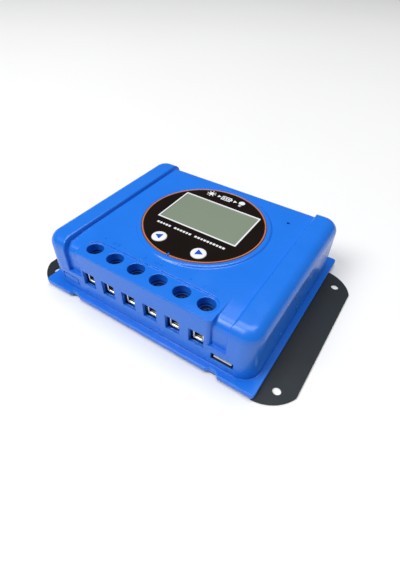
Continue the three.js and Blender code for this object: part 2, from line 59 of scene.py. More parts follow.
def box_mm(node):
    """A CAD node's lowest and highest corners in millimetres."""
    low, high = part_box(node)
    return np.array(low) / MM, np.array(high) / MM


# ------------------------------------------------------------------ driving dimensions (mm)
COVER_LOW, COVER_HIGH = box_mm("top_cover")
PANEL_LOW, PANEL_HIGH = box_mm("face_plate")
RING_LOW, RING_HIGH = box_mm("rim_ring")
LCD_LOW, LCD_HIGH = box_mm("lcd_frame")
GLASS_HIGH = box_mm("lcd_glass")[1]
PLATE_LOW, PLATE_HIGH = box_mm("base_plate")
POLES = [n for n in sorted(NODES) if n.startswith("terminal_screw_")]
POLE_X = [float(sum(corner[0] for corner in box_mm(n)) / 2) for n in POLES]
ROW_Y = float(sum(corner[1] for corner in box_mm(POLES[0])) / 2)
BUTTONS = [tuple(float(v) for v in sum(box_mm(n))[:2] / 2) for n in ("button_left", "button_right")]

FLANGE_BOTTOM, BAND_Z = float(COVER_LOW[2]), float(COVER_HIGH[2])
FLANGE_X = float(COVER_HIGH[0])
FLANGE_FRONT, FLANGE_BACK = float(COVER_LOW[1]), float(COVER_HIGH[1])
FLANGE_TOP = FLANGE_BOTTOM + 3
FLANGE_CORNER_R = 2.0
DECK_Z = BAND_Z - 2.5
BODY_X = FLANGE_X - 3.9
BODY_FRONT = FLANGE_FRONT + 4.7
BODY_BACK = FLANGE_BACK - 4.1
CORNER_R, EDGE_R = 10.0, 7.2
DRAFT = 0.008
# The step between the deck and a raised end band: its foot, its head and the band's inner wall.
STEP_LOW, STEP_HIGH, BAND_INNER = 53.9, 55.6, 54.5
STEP_EDGE, BAND_EDGE = 0.8, 0.7
# The sunk bay on each side of the terminal housing, which tilts down towards the front.
BAY_WALL, BAY_START, BAY_TILT, BAY_EDGE = BODY_FRONT + 2.3, -33.0, math.radians(3.6), 6.0
LEDGE_Z = 18.4
HOUSING_X, HOUSING_R, HOUSING_EDGE = 45.7, 3.0, 0.8
# The fillet where the housing's sides meet the bays: it grows from nothing over this height.
BLEND_LOW, BLEND_HEIGHT, BLEND_R, BLEND_IN = 27, 6, 1.1, 0.2
WALL = 2.3
ROOF_UNDER = 34.8
SKIRT_OPEN = -9
BOSS_R, BOSS_Z = 6.2, 31.4
PANEL_Y = float(PANEL_LOW[1] + PANEL_HIGH[1]) / 2
PANEL_R = float(PANEL_HIGH[0])
PANEL_Z = float(PANEL_HIGH[2])
LIP_BASE_R, LIP_R, LIP_Z, POCKET_R, POCKET_Z = 42.0, 41.1, DECK_Z + 1, 38.6, DECK_Z - 0.5
WINDOW_GAP, BUTTON_HOLE_R = 0.3, 4.95
ROOF_CUT = 33
HOLE_R, HOLE_FLOOR = 4.8, 31
ENTRY_X, ENTRY_LOW, ENTRY_HIGH = 4.5, 14.1, 24.2
PORT_BACK = -47
# The shallow wedge-shaped recess round the row of holes.
WEDGE_R, WEDGE_DEPTH, WEDGE_FRONT = 6.3, 0.9, -46.0
# How far the flange's front edge stands back at each distance from the middle.
NOTCH = [(45.8, 0.5), (48.2, 1.9), (51.8, 1.9), (53.9, 0.0)]
USB_X, USB_HALF, USB_LOW, USB_HIGH, USB_LIP = 53.07, 6.5, 9.18, 13.97, 0.8
SHELL_GAP = 0.3
SHELL_LOW, SHELL_HIGH = box_mm("usb_shell")
BLANK_X, BLANK_HALF, BLANK_LOW, BLANK_HIGH, BLANK_DEPTH = -54.7, 6.4, 9.0, 14.7, 1.3
LED_X, LED_Y, LED_R = 43.3, 43.1, 1.0


# ------------------------------------------------------------------ distance fields (mm)
def fillet(a, b, r):
    """Joins two fields and leaves a fillet of radius r in the corner between them."""
    return np.maximum(r, np.minimum(a, b)) - np.hypot(np.maximum(r - a, 0), np.maximum(r - b, 0))


def rounded(a, b, r):
    """Keeps what two fields share, with their common edge rounded to radius r."""
    return np.minimum(-r, np.maximum(a, b)) + np.hypot(np.maximum(r + a, 0), np.maximum(r + b, 0))


def carve(a, b, r):
    """Takes field b out of field a, with the rim rounded to radius r."""
    return rounded(a, -b, r)


def eased(a, b, k):
    """Keeps what two nearly parallel fields share, easing from one to the other over k."""
    near = np.maximum(k - np.abs(a - b), 0) / k
    return np.maximum(a, b) + near * near * k / 4


def rect(x, y, x0, x1, y0, y1, r=0.0):
    """Distance to a rectangle with corners of radius r."""
    qx = np.abs(x - (x0 + x1) / 2) - (x1 - x0) / 2 + r
    qy = np.abs(y - (y0 + y1) / 2) - (y1 - y0) / 2 + r
    return np.hypot(np.maximum(qx, 0), np.maximum(qy, 0)) + np.minimum(np.maximum(qx, qy), 0) - r


def block(x, y, z, x0, x1, y0, y1, z0, z1):
    """Distance to an upright box with sharp edges."""
    return np.maximum(rect(x, y, x0, x1, y0, y1), np.abs(z - (z0 + z1) / 2) - (z1 - z0) / 2)


def disc(x, y, cx, cy, r):
    """Distance to an upright round post."""
    return np.hypot(x - cx, y - cy) - r


def body_field(x, y, z):
    """Bands, deck, terminal housing and the flush lower front, as one solid."""
    ax = np.abs(x)
    draft = (z - FLANGE_TOP) * DRAFT
    plan = rect(x, y, -BODY_X, BODY_X, BODY_FRONT, BODY_BACK, CORNER_R) + draft
    rise, run = BAND_Z - DECK_Z, STEP_HIGH - STEP_LOW
    slope = ((z - DECK_Z) * run - (ax - STEP_LOW) * rise) / math.hypot(rise, run)
    inner = rounded(slope, BAND_INNER - ax, STEP_EDGE)
    bands = rounded(rounded(plan, z - BAND_Z, EDGE_R), inner, BAND_EDGE)

    tilt = (z - DECK_Z) * math.cos(BAY_TILT) + (BAY_START - y) * math.sin(BAY_TILT)
    top = eased(z - DECK_Z, tilt, 0.3)
    deck = rounded(rounded(top, BAY_WALL - y, BAY_EDGE), y - BODY_BACK + draft, EDGE_R)
    deck = np.maximum(deck, ax - BAND_INNER - 0.3)

    front = rect(x, y, -HOUSING_X, HOUSING_X, BODY_FRONT, -20, HOUSING_R) + draft * 0.5
    housing = rounded(front, z - DECK_Z, HOUSING_EDGE)
    lower = np.maximum(rect(x, y, -STEP_LOW - 2, STEP_LOW + 2, BODY_FRONT, -40), z - LEDGE_Z)
    soft = BLEND_R * np.clip((z - BLEND_LOW) / BLEND_HEIGHT, 0, 1)
    skirt = np.maximum(fillet(deck, front + BLEND_IN, soft), z - DECK_Z)
    return np.minimum(np.minimum(bands, fillet(skirt, lower, 0.3)), housing)


def flange_field(x, y, z):
    """The flange with its two notches at the front."""
    ax = np.abs(x)
    plan = rect(x, y, -FLANGE_X, FLANGE_X, FLANGE_FRONT, FLANGE_BACK, FLANGE_CORNER_R)
    stops = [(0, NOTCH[0][1]), *NOTCH, (FLANGE_X, 0)]
    inset = np.interp(ax, [s[0] for s in stops], [s[1] for s in stops])
    plan = eased(plan, (FLANGE_FRONT + inset - y) * 0.8, 0.1)
    return rounded(plan, z - FLANGE_TOP, 0.5)


def hollow_field(x, y, z):
    """The room inside the cover."""
    inside = WALL + 0.2
    front = BAY_WALL + WALL
    plan = rect(x, y, -BODY_X + inside, BODY_X - inside, front, BODY_BACK - inside - 0.6,
                CORNER_R - inside)
    sloped = (z - ROOF_UNDER) * 0.72 - (y + 41) * 0.69  # follows the bays' rounded front edge
    main = np.maximum(np.maximum(plan, z - ROOF_UNDER), sloped)
    low = block(x, y, z, -60, 60, BODY_FRONT + WALL, front + 1, SKIRT_OPEN, LEDGE_Z - WALL)
    pocket = HOUSING_X - WALL
    high = block(x, y, z, -pocket, pocket, BODY_FRONT + WALL, -40, SKIRT_OPEN, ROOF_UNDER)
    room = np.minimum(np.minimum(main, low), high)
    for px in POLE_X:
        room = np.maximum(room, -np.maximum(disc(x, y, px, ROW_Y, BOSS_R), BOSS_Z - z))
    return room


def display_features(d, x, y, z):
    """The round lip, the panel's pocket and the openings in its floor."""
    radius = np.hypot(x, y - PANEL_Y)
    rise, run = LIP_Z - DECK_Z, LIP_BASE_R - LIP_R
    flank = ((radius - LIP_BASE_R) * rise + (z - DECK_Z) * run) / math.hypot(rise, run)
    d = fillet(d, np.maximum(rounded(flank, z - LIP_Z, 0.6), 30 - z), 0.35)
    d = carve(d, np.maximum(radius - POCKET_R, POCKET_Z - z), 0.25)
    window = rect(x, y, LCD_LOW[0] - WINDOW_GAP, LCD_HIGH[0] + WINDOW_GAP,
                  LCD_LOW[1] - WINDOW_GAP, LCD_HIGH[1] + WINDOW_GAP)
    d = np.maximum(d, -np.maximum(window, ROOF_CUT - z))
    for bx, by in BUTTONS:
        d = np.maximum(d, -np.maximum(disc(x, y, bx, by, BUTTON_HOLE_R), ROOF_CUT - z))
    return d


def terminal_features(d, x, y, z):
    """Screwdriver holes, cable entries and the shallow recess round the holes."""
    wedge_z = DECK_Z - WEDGE_DEPTH * (y - WEDGE_FRONT) / (ROW_Y + WEDGE_R - WEDGE_FRONT)
    along = x - np.clip(x, POLE_X[0], POLE_X[-1])
    recess = rounded(np.hypot(along, y - ROW_Y) - WEDGE_R, wedge_z - z, 0.3)
    d = carve(d, recess, 0.3)
    pole = np.round((x - POLE_X[0]) / (POLE_X[1] - POLE_X[0]))
    nearest = np.array(POLE_X)[np.clip(pole, 0, len(POLE_X) - 1).astype(int)]
    d = carve(d, np.maximum(disc(x, y, nearest, ROW_Y, HOLE_R), HOLE_FLOOR - z), 0.5)
    entry = np.maximum(rect(x, z, nearest - ENTRY_X, nearest + ENTRY_X, ENTRY_LOW, ENTRY_HIGH, 0.3),
                       y - PORT_BACK)
    return carve(d, entry, 0.35)


def cover_field(points):
    """Signed distance to the whole top cover; each feature is worked out only where it reaches."""
    x, y, z = points[:, 0], points[:, 1], points[:, 2]
    d = body_field(x, y, z)
    near = z < 9
    low = points[near]
    d[near] = fillet(d[near], flange_field(low[:, 0], low[:, 1], low[:, 2]), 0.3)
    d = np.maximum(d, FLANGE_BOTTOM - z)
    d = np.maximum(d, -hollow_field(x, y, z))
    near = (z > 30) & (np.hypot(x, y - PANEL_Y) < 47)
    part = points[near]
    d[near] = display_features(d[near], part[:, 0], part[:, 1], part[:, 2])
    near = (y < -32) & (np.abs(x) < 52) & (z > 10)
    part = points[near]
    d[near] = terminal_features(d[near], part[:, 0], part[:, 1], part[:, 2])
    d = carve(d, np.maximum(disc(x, y, LED_X, LED_Y, LED_R), ROOF_CUT - z), 0.2)
    usb = np.maximum(rect(x, z, USB_X - USB_HALF, USB_X + USB_HALF, USB_LOW, USB_HIGH, 0.3),
                     y - PORT_BACK)
    room = block(x, y, z, SHELL_LOW[0] - SHELL_GAP, SHELL_HIGH[0] + SHELL_GAP,
                 BODY_FRONT + USB_LIP, PORT_BACK, SHELL_LOW[2] - SHELL_GAP, SHELL_HIGH[2] + SHELL_GAP)
    d = np.maximum(d, -room)
    blank = np.maximum(rect(x, z, BLANK_X - BLANK_HALF, BLANK_X + BLANK_HALF, BLANK_LOW, BLANK_HIGH,
                            0.5), y - BODY_FRONT - BLANK_DEPTH)
    return carve(carve(d, usb, 0.35), blank, 0.15)


# ------------------------------------------------------------------ meshing a field
COARSE = 4
REACH = 0.05
CORNERS = np.array([(i, j, k) for i in (0, 1) for j in (0, 1) for k in (0, 1)])
EDGES = [(a, b) for a in range(8) for b in range(a + 1, 8)
         if np.abs(CORNERS[a] - CORNERS[b]).sum() == 1]


def sample(field, points, chunk=24000):
    """The field at many points, in runs that fit the processor's cache."""
    out = np.empty(len(points), points.dtype)
    for start in range(0, len(points), chunk):
        out[start:start + chunk] = field(points[start:start + chunk])
    return out


def gradient(field, points, reach):
    """Direction in which the field grows fastest, as unit vectors."""
    slopes = np.empty_like(points)
    for axis in range(3):
        shift = np.zeros(3, points.dtype)
        shift[axis] = reach
        slopes[:, axis] = sample(field, points + shift) - sample(field, points - shift)
    return slopes / np.maximum(np.linalg.norm(slopes, axis=1, keepdims=True), 1e-9)


def grid(count):
    """Every (i, j, k) with each number under count."""
    return np.stack(np.meshgrid(*[np.arange(count)] * 3, indexing="ij"), -1).reshape(-1, 3)


def contour(field, low, high, step, cells=4):
    """Vertices and quads of the field's zero surface, on a grid of the given step.

    Only blocks of cells near the surface are kept: first coarse blocks, then small ones.
    """
    low = np.array(low, float) - 2.03 * step
    high = np.array(high, float) + 2 * step
    size, reach = cells * step, 1.05
    counts = np.ceil((high - low) / (COARSE * size)).astype(int)
    corner = np.stack(np.meshgrid(*[np.arange(n) for n in counts], indexing="ij"), -1)
    corner = corner.reshape(-1, 3) * COARSE
    for scale in (COARSE, 1):
        centre = (low + (corner + scale / 2) * size).astype(np.float32)
        corner = corner[np.abs(sample(field, centre)) < scale * size * reach]
        if scale > 1:
            corner = (corner[:, None] + grid(COARSE)[None]).reshape(-1, 3)
    n = cells + 1
    base = corner * cells
    points = (low + (base[:, None] + grid(n)[None]).reshape(-1, 3) * step).astype(np.float32)
    values = sample(field, points).reshape(-1, n, n, n)

    ends = [slice(0, cells), slice(1, n)]
    at = [values[:, ends[i], ends[j], ends[k]] for i, j, k in CORNERS]
    inside = np.stack([a < 0 for a in at])
    mixed = inside.any(0) & ~inside.all(0)
    where = np.argwhere(mixed)
    cell = base[where[:, 0]] + where[:, 1:]
    picked = [a[mixed] for a in at]
    total, hits = np.zeros((len(cell), 3)), np.zeros(len(cell))
    for a, b in EDGES:
        crossing = (picked[a] < 0) != (picked[b] < 0)
        t = picked[a][crossing] / (picked[a][crossing] - picked[b][crossing])
        total[crossing] += CORNERS[a] + t[:, None] * (CORNERS[b] - CORNERS[a])
        hits[crossing] += 1
    verts = low + (cell + total / hits[:, None]) * step

    width = np.array([1 << 42, 1 << 21, 1])
    keys = (cell * width).sum(1)
    order = np.argsort(keys)
    keys, verts = keys[order], verts[order]
    quads = []
    for axis in range(3):
        far = [ends[0]] * 3
        far[axis] = ends[1]
        first, second = at[0], values[(slice(None), *far)]
        hit = (first < 0) != (second < 0)
        where = np.argwhere(hit)
        edge = base[where[:, 0]] + where[:, 1:]
        u, v = [np.eye(3, dtype=np.int64)[(axis + s) % 3] for s in (1, 2)]
        ring = np.stack([((edge - du * u - dv * v) * width).sum(1)
                         for du, dv in ((1, 1), (0, 1), (0, 0), (1, 0))], 1)
        inward = first[hit] >= 0
        ring[inward] = ring[inward][:, ::-1]
        slot = np.minimum(np.searchsorted(keys, ring), len(keys) - 1)
        quads.append(slot[(keys[slot] == ring).all(1)])
    verts = verts.astype(np.float32)
    for _ in range(2):
        move = np.clip(sample(field, verts), -step / 2, step / 2)
        verts -= move[:, None] * gradient(field, verts, REACH)
    return verts.astype(float), np.concatenate(quads)


# ------------------------------------------------------------------ making objects
def link(name, data):
    """A new object in the scene that holds a mesh, lamp or camera."""
    obj = bpy.data.objects.new(name, data)
    bpy.context.scene.collection.objects.link(obj)
    return obj


def mesh_piece(name, verts, faces, smooth=True):
    """An object from vertices in millimetres and faces."""
    mesh = bpy.data.meshes.new(name)
    mesh.from_pydata((np.asarray(verts) * MM).tolist(), [], [list(map(int, f)) for f in faces])
    mesh.validate()
    if smooth:
        mesh.shade_smooth()
    return link(name, mesh)


def apply_modifiers(obj):
    """Replaces the object's mesh with its finished one, so no modifier is left."""
    graph = bpy.context.evaluated_depsgraph_get()
    done = bpy.data.meshes.new_from_object(obj.evaluated_get(graph))
    obj.modifiers.clear()
    obj.data = done


def field_piece(name, field, low, high, step, keep=1.0):
    """Meshes a field, thins it to a share of its faces and takes its normals from the field."""
    verts, quads = contour(field, low, high, step)
    mesh = bpy.data.meshes.new(name)
    mesh.vertices.add(len(verts))
    mesh.vertices.foreach_set("co", (verts * MM).astype(np.float32).ravel())
    mesh.loops.add(quads.size)
    mesh.loops.foreach_set("vertex_index", quads.astype(np.int32).ravel())
    mesh.polygons.add(len(quads))
    mesh.polygons.foreach_set("loop_start", np.arange(0, quads.size, 4, dtype=np.int32))
    mesh.update(calc_edges=True)
    mesh.validate()
    obj = link(name, mesh)
    if keep < 1:
        thin = obj.modifiers.new("thin", "DECIMATE")
        thin.ratio = keep
        apply_modifiers(obj)
    mesh = obj.data
    mesh.shade_smooth()
    flat = np.empty(len(mesh.vertices) * 3, np.float32)
    mesh.vertices.foreach_get("co", flat)
    points = flat.reshape(-1, 3) / MM
    move = np.clip(sample(field, points), -step / 4, step / 4)
    normals = gradient(field, points, REACH)
    points = np.clip(points - move[:, None] * normals, low, high)
    mesh.vertices.foreach_set("co", (points * MM).astype(np.float32).ravel())
    mesh.normals_split_custom_set_from_vertices(normals.tolist())
    mesh.update()
    print(name, len(verts), "->", len(mesh.vertices), "vertices", len(mesh.polygons), "faces")
    return obj


def polygon_normals(points):
    """Outward directions at an anticlockwise outline's corners, and the same as miters."""
    ahead = np.roll(points, -1, 0) - points
    ahead /= np.linalg.norm(ahead, axis=1, keepdims=True)
    side = np.stack([ahead[:, 1], -ahead[:, 0]], 1)
    both = side + np.roll(side, 1, 0)
    unit = both / np.linalg.norm(both, axis=1, keepdims=True)
    return unit, unit / np.maximum((unit * side).sum(1, keepdims=True), 0.5)


def area(points):
    """Signed area inside a closed outline, positive when it runs anticlockwise."""
    x, y = points[:, 0], points[:, 1]
    return (x * np.roll(y, -1) - y * np.roll(x, -1)).sum() / 2


def slab(name, groups, z0, z1, edge, steps=3):
    """Flat pieces between two heights with rounded rims. Each group is an outline and its holes."""
    turn = np.linspace(0, math.pi / 2, steps + 1)
    under = [(edge * (1 - math.sin(a)), z0 + edge * (1 - math.cos(a)), a) for a in turn]
    over = [(inset, z1 + z0 - z, math.pi - a) for inset, z, a in reversed(under)]
    profile = under + over
    verts, faces, normals = [], [], []
    for group in groups:
        caps = []
        for index, outline in enumerate(group):
            points = np.array(outline, float)
            if (area(points) > 0) == (index > 0):
                points = points[::-1]
            unit, miter = polygon_normals(points)
            first, count = len(verts), len(points)
            for inset, z, a in profile:
                moved = points - inset * miter
                verts += [(px, py, z) for px, py in moved]
                normals += [(ux * math.sin(a), uy * math.sin(a), -math.cos(a)) for ux, uy in unit]
            for row in range(len(profile) - 1):
                low = first + row * count
                faces += [(low + i, low + (i + 1) % count, low + count + (i + 1) % count,
                           low + count + i) for i in range(count)]
            caps.append((first, count))
        for level, flip in ((0, True), (len(profile) - 1, False)):
            ids = [f + level * c + i for f, c in caps for i in range(c)]
            loops = [[Vector((*verts[f + level * c + i][:2], 0)) for i in range(c)]
                     for f, c in caps]
            for tri in tessellate_polygon(loops):
                a, b, c = [ids[i] for i in tri]
                flat = np.array([verts[a][:2], verts[b][:2], verts[c][:2]])
                if (area(flat) < 0) != flip:
                    a, c = c, a
                faces.append((a, b, c))
    obj = mesh_piece(name, verts, faces)
    obj.data.normals_split_custom_set_from_vertices(normals)
    return obj


def ring_points(cx, cy, r, count=64, start=0.0, end=360.0):
    """Points on a circle, or on an arc of it when start and end are given in degrees."""
    closed = abs(end - start) >= 360
    turns = np.radians(np.linspace(start, end, count, endpoint=not closed))
    return [(cx + r * math.cos(a), cy + r * math.sin(a)) for a in turns]


def rect_points(cx, cy, w, h, r=0.3, turn=0.0, count=4):
    """Points on a rectangle with rounded corners, turned by an angle in degrees."""
    points = []
    for sx, sy, start in ((1, 1, 0), (-1, 1, 90), (-1, -1, 180), (1, -1, 270)):
        points += ring_points(sx * (w / 2 - r), sy * (h / 2 - r), r, count, start, start + 90)
    c, s = math.cos(math.radians(turn)), math.sin(math.radians(turn))
    return [(cx + c * px - s * py, cy + s * px + c * py) for px, py in points]


def triangle_points(cx, cy, reach, turn, r=0.25, count=4):
    """A triangle with its corners rounded; one corner points along the angle turn in degrees."""
    points = []
    for k in range(3):
        a = turn + 120 * k
        px = cx + (reach - 2 * r) * math.cos(math.radians(a))
        py = cy + (reach - 2 * r) * math.sin(math.radians(a))
        points += ring_points(px, py, r, count, a - 60, a + 60)
    return points


# ------------------------------------------------------------------ materials
def finish(name, color, rough, metal=0.0, tint=0.06, patch=60.0, grain=2500.0, depth=0.0,
           spread=0.06, shine=0.5, rim=None):
    """A surface whose colour and sheen drift a little and whose skin has a fine grain.

    rim is a painted highlight: a light colour and two values of y in millimetres, between which it
    fades in towards -Y, so a part's front edge looks lit while the rest keeps the base colour.
    """
    made = bpy.data.materials.new(name)
    made.use_nodes = True
    nodes, wires = made.node_tree.nodes, made.node_tree.links
    shader = nodes["Principled BSDF"]
    shader.inputs["Metallic"].default_value = metal
    shader.inputs["Specular IOR Level"].default_value = shine
    place = nodes.new("ShaderNodeTexCoord")
    wide = nodes.new("ShaderNodeTexNoise")
    wide.inputs["Scale"].default_value = patch
    wide.inputs["Detail"].default_value = 4.0
    wires.new(place.outputs["Object"], wide.inputs["Vector"])
    blend = nodes.new("ShaderNodeMix")
    blend.data_type = "RGBA"
    blend.inputs[6].default_value = [c * (1 - tint) for c in color] + [1]
    blend.inputs[7].default_value = [min(1, c * (1 + tint)) for c in color] + [1]
    wires.new(wide.outputs["Fac"], blend.inputs[0])
    wires.new(blend.outputs[2], shader.inputs["Base Color"])
    # The rim colour is a painted highlight, mixed over the base colour by position along Y.
    if rim:
        axes = nodes.new("ShaderNodeSeparateXYZ")
        wires.new(place.outputs["Object"], axes.inputs["Vector"])
        fade = nodes.new("ShaderNodeMapRange")
        fade.inputs["From Min"].default_value = rim[1] * MM
        fade.inputs["From Max"].default_value = rim[2] * MM
        wires.new(axes.outputs["Y"], fade.inputs["Value"])
        painted_highlight_mix = nodes.new("ShaderNodeMix")
        painted_highlight_mix.data_type = "RGBA"
        painted_highlight_mix.inputs[7].default_value = (*rim[0], 1)
        wires.new(fade.outputs["Result"], painted_highlight_mix.inputs[0])
        wires.new(blend.outputs[2], painted_highlight_mix.inputs[6])
        wires.new(painted_highlight_mix.outputs[2], shader.inputs["Base Color"])
    sheen = nodes.new("ShaderNodeMapRange")
    sheen.inputs["From Min"].default_value = 0.3
    sheen.inputs["From Max"].default_value = 0.7
    sheen.inputs["To Min"].default_value = max(0.02, rough - spread)
    sheen.inputs["To Max"].default_value = rough + spread
    wires.new(wide.outputs["Fac"], sheen.inputs["Value"])
    wires.new(sheen.outputs["Result"], shader.inputs["Roughness"])
    if depth > 0:
        fine = nodes.new("ShaderNodeTexNoise")
        fine.inputs["Scale"].default_value = grain
        fine.inputs["Detail"].default_value = 2.0
        wires.new(place.outputs["Object"], fine.inputs["Vector"])
        bump = nodes.new("ShaderNodeBump")
        bump.inputs["Strength"].default_value = 1.0
        bump.inputs["Distance"].default_value = depth * MM
        wires.new(fine.outputs["Fac"], bump.inputs["Height"])
        wires.new(bump.outputs["Normal"], shader.inputs["Normal"])
    return made


CAGE_FRONT = float(box_mm("terminal_cage_1")[0][1])
FINISHES = {
    "blue_abs": finish("blue_abs", (0.012, 0.185, 0.80), 0.25, tint=0.03, depth=0.007),
    "black_powder_coat": finish("black_powder_coat", (0.016, 0.022, 0.028), 0.5, depth=0.05,
                                grain=1800.0, shine=0.3),
    "black_gloss_panel": finish("black_gloss_panel", (0.009, 0.006, 0.005), 0.3, tint=0.1,
                                depth=0.004, shine=0.1),
    "orange_trim": finish("orange_trim", (0.60, 0.17, 0.035), 0.4, depth=0.01),
    "white_plastic": finish("white_plastic", (0.86, 0.87, 0.89), 0.35, tint=0.02, depth=0.008),
    "lcd_grey_green": finish("lcd_grey_green", (0.22, 0.27, 0.20), 0.35, tint=0.04, patch=25.0,
                             spread=0.03),
    "circuit_board": finish("circuit_board", (0.012, 0.10, 0.045), 0.35, tint=0.3, patch=400.0,
                            depth=0.02),
    "grey_rubber": finish("grey_rubber", (0.25, 0.27, 0.29), 0.75, depth=0.03),
    "black_plastic": finish("black_plastic", (0.014, 0.014, 0.015), 0.5, depth=0.03),
    "dark_blue_plastic": finish("dark_blue_plastic", (0.008, 0.07, 0.30), 0.45, depth=0.03),
    "steel": finish("steel", (0.62, 0.63, 0.64), 0.3, metal=1.0, patch=300.0, depth=0.01),
    "aluminium": finish("aluminium", (0.62, 0.63, 0.64), 0.4, metal=1.0, patch=200.0, depth=0.01),
    # Brass: the dark base colour is painted shade standing for the cages' unlit insides, and the
    # light rim colour fading in over each cage's front edge is a painted highlight.
    "brass": finish("brass", (0.26, 0.25, 0.19), 0.38, metal=1.0, tint=0.15, patch=350.0,
                    depth=0.02, rim=((0.85, 0.84, 0.78), CAGE_FRONT + 0.7, CAGE_FRONT + 0.25)),
    "copper": finish("copper", (0.60, 0.42, 0.28), 0.35, metal=1.0, tint=0.15, patch=300.0,
                     depth=0.01),
    "capacitor_sleeve": finish("capacitor_sleeve", (0.02, 0.02, 0.03), 0.3, depth=0.005),
    "fuse_plastic": finish("fuse_plastic", (0.70, 0.38, 0.06), 0.3, depth=0.01),
    "arrow_blue": finish("arrow_blue", (0.006, 0.075, 0.50), 0.35, depth=0.005),
    # Screws and the port's shell: dark blue-tinted steel, painted shade for their place deep in the
    # cover and a painted blue reflection of the cover's walls.
    "shaded_steel": finish("shaded_steel", (0.02, 0.05, 0.15), 0.4, metal=0.5, patch=300.0,
                           depth=0.01),
}


def place(obj, slot, *stands_for, body=ROOT, look=None):
    """Gives a piece its finish, its body and the CAD nodes that it stands for."""
    obj.data.materials.clear()
    obj.data.materials.append(FINISHES[look or slot])
    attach(obj, body)
    if stands_for:
        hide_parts(*stands_for)
    return obj


def shifted(obj, name, dx):
    """A copy of a piece, moved along X in millimetres."""
    mesh = obj.data.copy()
    mesh.transform(Matrix.Translation((dx * MM, 0, 0)))
    return link(name, mesh)


# ------------------------------------------------------------------ cover, plate and panel
place(field_piece("cover", cover_field, COVER_LOW, COVER_HIGH, 0.36, 0.2), "blue_abs", "top_cover")


def round_box(p, low, high, r):
    """Distance to a box with every edge rounded to radius r."""
    q = [np.abs(p[:, i] - (low[i] + high[i]) / 2) - (high[i] - low[i]) / 2 + r for i in range(3)]
    out = np.sqrt(sum(np.maximum(v, 0) ** 2 for v in q))
    return out + np.minimum(np.maximum(np.maximum(q[0], q[1]), q[2]), 0) - r


def box_piece(name, low, high, r, step, keep=0.3):
    """A box with every edge rounded, as an object."""
    return field_piece(name, lambda p: round_box(p, low, high, r), low, high, step, keep)


INSET = 0.65  # the gap round the closed port, which draws its outline
place(box_piece("port_blank", (BLANK_X - BLANK_HALF + INSET, BODY_FRONT + 0.05, BLANK_LOW + INSET),
                (BLANK_X + BLANK_HALF - INSET, BODY_FRONT + 1.4, BLANK_HIGH - INSET), 0.18, 0.25),
      "blue_abs")
place(box_piece("panel_key", (-0.5, PANEL_Y - 38.9, POCKET_Z - 0.3),
                (0.5, PANEL_Y - 36.3, 38.45), 0.15, 0.15), "blue_abs")

# The plate's ears: arcs about (EAR_X, EAR_Y) that end on the straight outer edge.
EAR_SHIFT = float(PLATE_LOW[0] + PLATE_HIGH[0]) / 2
EAR_HALF = float(PLATE_HIGH[0] - PLATE_LOW[0]) / 2
EAR_X, EAR_Y, EAR_R = 69.8, 34.4, 22.4
EAR_END = math.degrees(math.acos((EAR_HALF - EAR_X) / EAR_R))
HOLE_X, HOLE_Y, EAR_HOLE_R = 80.4, 45.24, 2.4
PLATE_X, PLATE_FRONT, PLATE_BACK = 73.4, -54.6, float(PLATE_HIGH[1])
CASE_SCREWS = [(sx * 64, y) for sx in (-1, 1) for y in (-43.4, 55.4)]
PILLARS = [(sx * 55, y) for sx in (-1, 1) for y in (-28, 38)]
CASE_HOLE_R, PILLAR_R, PILLAR_LOW, PILLAR_TOP = 3.3, 3, 1.1, 6.1


def ear_arc(side, end):
    """One rounded corner of an ear, from the plate's edge out to the ear's straight end."""
    cx = EAR_SHIFT + side * EAR_X
    start = math.degrees(math.acos((side * PLATE_X - cx) / EAR_R))
    stop = EAR_END if side > 0 else 180 - EAR_END
    points = ring_points(cx, EAR_Y, EAR_R, 20, start, stop)
    return points if end > 0 else [(px, -py) for px, py in points]


outline = [(-PLATE_X, PLATE_FRONT), (PLATE_X, PLATE_FRONT)]
outline += ear_arc(1, -1) + ear_arc(1, 1)[::-1]
outline += [(PLATE_X, PLATE_BACK), (-PLATE_X, PLATE_BACK)]
outline += ear_arc(-1, 1) + ear_arc(-1, -1)[::-1]
holes = [ring_points(EAR_SHIFT + sx * HOLE_X, sy * HOLE_Y, EAR_HOLE_R, 40)
         for sx in (-1, 1) for sy in (-1, 1)]
holes += [ring_points(px, py, CASE_HOLE_R, 32) for px, py in CASE_SCREWS]
place(slab("mounting_plate", [[outline] + holes], 0, float(COVER_LOW[2]) - 0.3, 0.16),
      "black_powder_coat", "base_plate")
place(slab("board_pillars", [[ring_points(px, py, PILLAR_R, 24)] for px, py in PILLARS],
           PILLAR_LOW, PILLAR_TOP, 0.2), "black_powder_coat")

# The panel and its ring leave a gap at the front for the key moulded on the cover.
KEYWAY_HALF, KEYWAY_DEEP = 0.85, 1.5
KEYWAY_TURN = math.degrees(math.asin(KEYWAY_HALF / PANEL_R))
TURN_FROM, TURN_TO = -90 + KEYWAY_TURN, 270 - KEYWAY_TURN
disc_line = ring_points(0, PANEL_Y, PANEL_R, 160, TURN_FROM, TURN_TO)
disc_line += [(-KEYWAY_HALF, PANEL_Y - PANEL_R + KEYWAY_DEEP),
              (KEYWAY_HALF, PANEL_Y - PANEL_R + KEYWAY_DEEP)]
LCD_MID = (LCD_LOW + LCD_HIGH) / 2
LCD_SIZE = LCD_HIGH - LCD_LOW
window = rect_points(LCD_MID[0], LCD_MID[1], LCD_SIZE[0] + 0.5, LCD_SIZE[1] + 0.5, 0.5)
button_holes = [ring_points(bx, by, 4.9, 48) for bx, by in BUTTONS]
place(slab("display_face", [[disc_line, window] + button_holes], float(PANEL_LOW[2]), PANEL_Z, 0.22),
      "black_gloss_panel", "face_plate")

